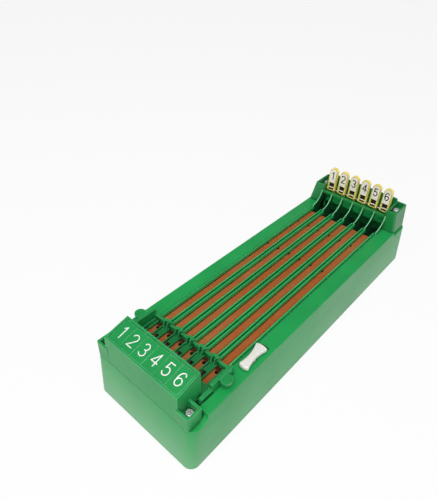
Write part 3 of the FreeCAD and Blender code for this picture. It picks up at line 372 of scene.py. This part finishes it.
def felt(name, colour):
    """Flocked strip: short fibres, a path of wear, paler fluff, and painted shade by the gate and round
    the peg holes.
    """
    b = Builder(name)
    fibre = b.noise(1700.0, 4.0, 0.75, b.stretched((1.0, 0.7, 1.0)))
    streak = b.noise(320.0, 4.0, 0.65, b.stretched((1.0, 0.10, 1.0)))
    patch = b.noise(28.0, 3.0, 0.6, b.stretched((1.0, 0.5, 1.0)))
    base = b.blend(b.spread(fibre, 0.0, 1.0), shade(colour, 0.62), shade(colour, 1.30))
    base = b.blend(b.spread(streak, 0.0, 0.55), base, shade(colour, 1.15))
    base = b.blend(b.spread(patch, 0.0, 0.45, 0.4, 0.75), base, FELT_FLUFF)
    # Painted shade by the gate and round the peg holes
    b.colour(b.blend(b.painted_gate_and_hole_shade(), base, FELT_PAINTED_SHADE))
    b.rough(b.spread(fibre, 0.78, 0.98))
    b.set(Specular_IOR_Level=0.12)
    b.bump([(fibre, 0.12, 0.6), (streak, 0.10, 0.3)])
    return b.material


def metal(name, colour, rough, brushed, metallic=1.0):
    """Brushed or plated metal: fine lines, faint spots, painted shade in its recesses."""
    b = Builder(name)
    lines = b.noise(900.0, 3.0, 0.6, b.stretched(brushed))
    spots = b.noise(120.0, 4.0, 0.7)
    base = b.blend(b.spread(spots, 0.0, 1.0), shade(colour, 0.82), colour)
    # Painted shade: darker in the metal's recesses
    b.colour(b.blend(b.painted_crevice_shade(METAL_CREVICE_REACH), base, METAL_CREVICE_SHADE))
    b.rough(b.math("ADD", b.spread(lines, *rough), b.math("MULTIPLY", spots, 0.06)))
    b.set(Metallic=metallic)
    b.bump([(lines, 0.02, 0.3)])
    return b.material


def soft_matt(name, colour, rough, grain):
    """Rubber, nylon or paint: a cloudy tone with dust."""
    b = Builder(name)
    cloud = b.noise(30.0, 3.0, 0.6)
    dust = b.noise(260.0, 5.0, 0.7)
    base = b.blend(b.spread(cloud, 0.0, 1.0), shade(colour, 0.85), shade(colour, 1.12))
    b.colour(b.blend(b.spread(dust, 0.0, 0.35, 0.5, 0.8), base, shade(colour, 1.5)))
    b.rough(b.spread(dust, *rough))
    b.bump([(b.noise(2200.0, 3.0, 0.7), 0.04, grain)])
    return b.material


GREEN = (0.012, 0.318, 0.074)

# green_plastic is the plastic's own colour; the other greens are copies of it, darker as painted shade or,
# for the rails, lighter as painted highlight
MOULDED = {
    "green_plastic": dict(colour=GREEN, rough=(0.30, 0.40), specular=0.37, grain=0.22,
                          worn_and_highlight=(0.085, 0.560, 0.200), painted_sheen=(0.22, 0.48, 0.27)),
    "green_block": dict(colour=shade(GREEN, 0.90), rough=(0.30, 0.40), specular=0.36, grain=0.22,
                        worn_and_highlight=(0.20, 0.74, 0.36), worn_and_highlight_width=0.7),
    "green_rail": dict(colour=(0.018, 0.420, 0.110), rough=(0.30, 0.42), specular=0.50, grain=0.25,
                       worn_and_highlight=(0.13, 0.68, 0.27), worn_and_highlight_width=0.4),
    "green_gate": dict(colour=(0.009, 0.262, 0.062), rough=(0.30, 0.42), specular=0.50, grain=0.25,
                       worn_and_highlight=(0.16, 0.68, 0.30), worn_and_highlight_width=0.6),
    "green_stall": dict(colour=(0.006, 0.185, 0.044), rough=(0.32, 0.44), specular=0.45, grain=0.25,
                        worn_and_highlight=(0.14, 0.62, 0.27)),
    "green_far": dict(colour=(0.007, 0.215, 0.050), rough=(0.28, 0.40), specular=0.50, grain=0.22,
                      worn_and_highlight=(0.07, 0.46, 0.16), painted_bay_shade=(0.002, 0.030, 0.010)),
    "green_rib": dict(colour=(0.004, 0.085, 0.024), rough=(0.34, 0.46), specular=0.45, grain=0.22,
                      worn_and_highlight=(0.30, 0.80, 0.42), worn_and_highlight_width=0.9, front=(0.16, 0.52, 0.25)),
    "green_shadow": dict(colour=(0.002, 0.015, 0.006), rough=(0.45, 0.60), specular=0.3, grain=0.3,
                         worn_and_highlight=(0.005, 0.06, 0.02)),
    "base_plastic": dict(colour=(0.016, 0.235, 0.062), rough=(0.50, 0.62), specular=0.45, grain=0.45,
                         worn_and_highlight=(0.08, 0.40, 0.14)),
    "yellow_plastic": dict(colour=(0.88, 0.72, 0.15), rough=(0.22, 0.34), specular=0.55, grain=0.12,
                           worn_and_highlight=(0.95, 0.86, 0.42), worn_and_highlight_width=0.4),
    "plate_plastic": dict(colour=(0.90, 0.865, 0.76), rough=(0.24, 0.36), specular=0.45, grain=0.12,
                          worn_and_highlight=(0.94, 0.91, 0.83), worn_and_highlight_width=0.2),
    "white_plastic": dict(colour=(0.74, 0.735, 0.68), rough=(0.22, 0.34), specular=0.5, grain=0.15,
                          worn_and_highlight=(0.82, 0.81, 0.77), worn_and_highlight_width=0.4),
}
METALS = {
    "screw_steel": dict(colour=(0.90, 0.90, 0.91), rough=(0.22, 0.32), brushed=(1.0, 1.0, 1.0),
                        metallic=0.6),
    "spring_steel": dict(colour=(0.56, 0.57, 0.60), rough=(0.22, 0.36), brushed=(1.0, 1.0, 0.08)),
    "plate_steel": dict(colour=(0.63, 0.63, 0.64), rough=(0.28, 0.44), brushed=(0.08, 1.0, 1.0)),
}
SOFT_MATT = {
    "foot_rubber": dict(colour=(0.030, 0.030, 0.031), rough=(0.75, 0.92), grain=0.7),
    "gear_nylon": dict(colour=(0.78, 0.77, 0.71), rough=(0.42, 0.58), grain=0.3),
    "board_plastic": dict(colour=(0.006, 0.012, 0.008), rough=(0.60, 0.80), grain=0.5),
    "number_white": dict(colour=(0.84, 0.86, 0.83), rough=(0.35, 0.5), grain=0.2),
    "number_black": dict(colour=(0.012, 0.011, 0.010), rough=(0.35, 0.5), grain=0.2),
    # Painted shade: near-black inserts set where the flags' recess and slot are in shade
    "recess_black": dict(colour=(0.004, 0.004, 0.003), rough=(0.7, 0.9), grain=0.3),
}

materials = {"track_felt": felt("track_felt", (0.350, 0.092, 0.022))}
for make, table in ((moulded, MOULDED), (metal, METALS), (soft_matt, SOFT_MATT)):
    for material_name, settings in table.items():
        materials[material_name] = make(material_name, **settings)


# ---------------------------------------------------------------- the part's own nodes

# Green pieces that take a lit or shaded copy of the green plastic, as painted light and shade: start of
# the node's name -> material
GREEN_LIT_OR_SHADED = {
    "finish_floor": "green_shadow", "finish_ribs": "green_rib", "finish_block": "green_far",
    "start_gate": "green_gate", "lane_divider": "green_rail", "lane_rail": "green_rail",
    "number_block": "green_block", "start_stalls": "green_stall",
}

# Rounded edges: start of the node's name -> radius
EDGE_ROUNDS = {
    "housing": 0.40, "number_block": 0.50, "finish_block": 0.38, "start_stalls": 0.22, "start_gate": 0.30,
    "lane_rail": 0.24, "lane_divider": 0.24, "finish_ribs": 0.32, "finish_flag": 0.35, "flag_plate": 0.20,
    "winding_key": 0.30, "lane_mat": 0.15, "bottom_plate": 0.40, "feet": 0.40, "gate_pins": 0.20,
}
WELD_GAP = 0.01
SHARP_DEGREES = 28.0            # an edge that turns by less stays as it is


def round_edges(node, radius):
    weld = node.modifiers.new("weld", "WELD")
    weld.merge_threshold = WELD_GAP * MM
    bevel = node.modifiers.new("bevel", "BEVEL")
    bevel.width = radius * MM
    bevel.segments = 2
    bevel.limit_method = "ANGLE"
    bevel.angle_limit = math.radians(SHARP_DEGREES)
    bevel.use_clamp_overlap = True
    normals = node.modifiers.new("normals", "WEIGHTED_NORMAL")
    normals.mode = "FACE_AREA_WITH_ANGLE"
    normals.weight = 50


def entry_for(table, node_name, otherwise=None):
    # The table's entry whose key the node's name starts with
    return next((entry for start, entry in table.items() if node_name.startswith(start)), otherwise)


def dress_nodes():
    for node_name, node in nodes.items():
        for slot in node.material_slots:
            name = slot.material.name.split(".")[0] if slot.material else ""
            if name == "green_plastic":
                name = entry_for(GREEN_LIT_OR_SHADED, node_name, name)
            if name in materials:
                slot.material = materials[name]
        radius = entry_for(EDGE_ROUNDS, node_name)
        if radius:
            round_edges(node, radius)


# ---------------------------------------------------------------- numbers and flag recesses

def arc(cx, cy, rx, ry, start, end, steps=18):
    angles = [math.radians(start + (end - start) * k / steps) for k in range(steps + 1)]
    return [(cx + rx * math.cos(a), cy + ry * math.sin(a)) for a in angles]


def flowing(points, steps=5):
    # A smooth curve through the points
    ends = [points[0]] + points + [points[-1]]
    curve = []
    for k in range(len(points) - 1):
        p0, p1, p2, p3 = ends[k:k + 4]
        for j in range(steps):
            t = j / steps
            curve.append(tuple(0.5 * (2 * b + (c - a) * t + (2 * a - 5 * b + 4 * c - d) * t * t
                                      + (3 * b - a - 3 * c + d) * t ** 3)
                               for a, b, c, d in zip(p0, p1, p2, p3)))
    return curve + [points[-1]]


# Strokes of each number in a cell one unit high
NUMBERS = {
    1: [[(0.17, 0.80), (0.36, 1.0)], [(0.36, 1.0), (0.36, 0.0)]],
    2: [arc(0.28, 0.735, 0.25, 0.265, 165, -35) + [(0.30, 0.33), (0.04, 0.0)], [(0.04, 0.0), (0.56, 0.0)]],
    3: [arc(0.28, 0.755, 0.225, 0.245, 155, -90), arc(0.28, 0.26, 0.26, 0.26, 90, -155)],
    4: [[(0.44, 0.0), (0.44, 1.0)], [(0.44, 1.0), (0.02, 0.28)], [(0.02, 0.28), (0.60, 0.28)]],
    5: [[(0.50, 1.0), (0.13, 1.0)], [(0.13, 1.0), (0.08, 0.54)], arc(0.27, 0.31, 0.27, 0.31, 135, -155)],
    6: [flowing([(0.49, 0.86), (0.42, 0.97), (0.30, 1.0), (0.15, 0.92), (0.05, 0.70), (0.03, 0.42),
                 (0.06, 0.17), (0.17, 0.03), (0.29, 0.0), (0.43, 0.05), (0.53, 0.20), (0.54, 0.34),
                 (0.46, 0.50), (0.30, 0.57), (0.14, 0.50), (0.05, 0.36)])],
}
NUMBER_MIDDLE = 0.29            # the middle of a number's cell, as a share of its height
SECTION_STEPS = 8               # round a stroke's section
CAP_STEPS = 4                   # round a stroke's end
CAP_TIP = 0.06                  # width left at the very end, as a share of the stroke's
SECTION_POWER = 0.6             # below 1, the section is flatter on top than a half circle
SUNK = 0.08                     # how far a stroke's foot lies under the surface

# Height, width against height, width and rise of the stroke
PANEL_STYLE = (11.1, 1.0, 0.98, 0.30)
FLAG_STYLE = (9.2, 0.92, 1.22, 0.12)

PANEL_MIDDLE = (-173.85, 82.3)  # y and z of the sloping panel's middle
PANEL_RISE, PANEL_RUN = 6.0, 24.5
FLAG_NUMBER_Y, FLAG_NUMBER_Z = 156.5, 95.6

# Dark inserts of painted shade in each flag's recess and slot: low and high corner, with x from the flag's
# middle
FLAG_INSERTS = {
    "flag_recess": ((-3.26, 159.3, 78.64), (3.26, 159.88, 85.66)),
    "flag_slot": ((-3.26, 157.45, 76.64), (3.26, 157.78, 78.55)),
}


def stroke(points, width, rise, verts, faces):
    # A raised line of flattened half-round section with round ends
    count = len(points)
    tangents = []
    for k in range(count):
        before, after = points[max(0, k - 1)], points[min(count - 1, k + 1)]
        tangents.append(Vector((after[0] - before[0], after[1] - before[1])).normalized())

    def cap(spot, along, sign, j):
        turn = math.pi / 2 * j / CAP_STEPS
        centre = Vector(spot) + along * (sign * math.sin(turn) * width / 2)
        return centre, along, max(CAP_TIP, math.cos(turn))

    rings = [cap(points[0], tangents[0], -1, j) for j in range(CAP_STEPS, 0, -1)]
    rings += [(Vector(points[k]), tangents[k], 1.0) for k in range(count)]
    rings += [cap(points[-1], tangents[-1], 1, j) for j in range(1, CAP_STEPS + 1)]

    turns = [math.pi * k / SECTION_STEPS for k in range(SECTION_STEPS + 1)]
    outline = [(width / 2, -SUNK)]
    outline += [(width / 2 * math.cos(turn), rise * math.sin(turn) ** SECTION_POWER) for turn in turns]
    outline.append((-width / 2, -SUNK))
    size = len(outline)
    first = len(verts)
    for centre, along, scale in rings:
        across = Vector((-along.y, along.x))
        for offset, height in outline:
            spot = centre + across * offset * scale
            verts.append((spot.x, spot.y, height * scale if height > 0 else height))
    for k in range(len(rings) - 1):
        for j in range(size):
            a = first + k * size + j
            b = first + k * size + (j + 1) % size
            faces.append((a, b, b + size, a + size))
    faces.append(tuple(first + j for j in reversed(range(size))))
    last = first + (len(rings) - 1) * size
    faces.append(tuple(last + j for j in range(size)))


def add_piece(name, verts, faces, material, body, smooth=False):
    mesh = bpy.data.meshes.new(name)
    mesh.from_pydata([tuple(v) for v in verts], [], faces)
    mesh.validate()
    if smooth:
        mesh.shade_smooth()
    mesh.materials.append(materials[material])
    piece = bpy.data.objects.new(name, mesh)
    bpy.context.scene.collection.objects.link(piece)
    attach(piece, body)


def add_number(name, number, style, centre, up, material, body):
    # A number whose strokes run across the game and along up
    height, aspect, width, rise = style
    verts, faces = [], []
    for line in NUMBERS[number]:
        points = [((u - NUMBER_MIDDLE) * height * aspect, (v - 0.5) * height) for u, v in line]
        stroke(points, width, rise, verts, faces)
    right, up = Vector((1, 0, 0)), Vector(up)
    out = right.cross(up)
    places = [(Vector(centre) + right * x + up * y + out * z) * MM for x, y, z in verts]
    add_piece(name, places, faces, material, body, smooth=True)


def add_box(name, low, high, material, body):
    x0, y0, z0 = low
    x1, y1, z1 = high
    verts = [Vector(v) * MM for v in ((x0, y0, z0), (x1, y0, z0), (x1, y1, z0), (x0, y1, z0),
                                      (x0, y0, z1), (x1, y0, z1), (x1, y1, z1), (x0, y1, z1))]
    faces = [(0, 3, 2, 1), (4, 5, 6, 7), (0, 1, 5, 4), (1, 2, 6, 5), (2, 3, 7, 6), (3, 0, 4, 7)]
    add_piece(name, verts, faces, material, body)


def panel_numbers():
    # White numbers raised on the sloping panel of the number block
    slope = math.atan2(PANEL_RISE, PANEL_RUN)
    up = (0.0, math.cos(slope), math.sin(slope))
    for number in range(1, LANES + 1):
        add_number("panel_number_%d" % number, number, PANEL_STYLE,
                   (centred(number, PANEL_PITCH), *PANEL_MIDDLE), up, "number_white", "base")


def flag_details():
    # A black number on each flag, and dark inserts of painted shade in the recess and the slot below it
    for number in range(1, LANES + 1):
        x = centred(number, LANE_PITCH)
        body = "flag_%d" % number
        add_number("flag_number_%d" % number, number, FLAG_STYLE, (x, FLAG_NUMBER_Y, FLAG_NUMBER_Z),
                   (0, 0, 1), "number_black", body)
        for name, (low, high) in FLAG_INSERTS.items():
            add_box("%s_%d" % (name, number), (x + low[0], *low[1:]), (x + high[0], *high[1:]),
                    "recess_black", body)


dress_nodes()
panel_numbers()
flag_details()
bpy.context.scene.view_settings.view_transform = "Standard"
make_camera()
make_world()
make_floor()
for lamp in LAMPS:
    area_lamp(*lamp)
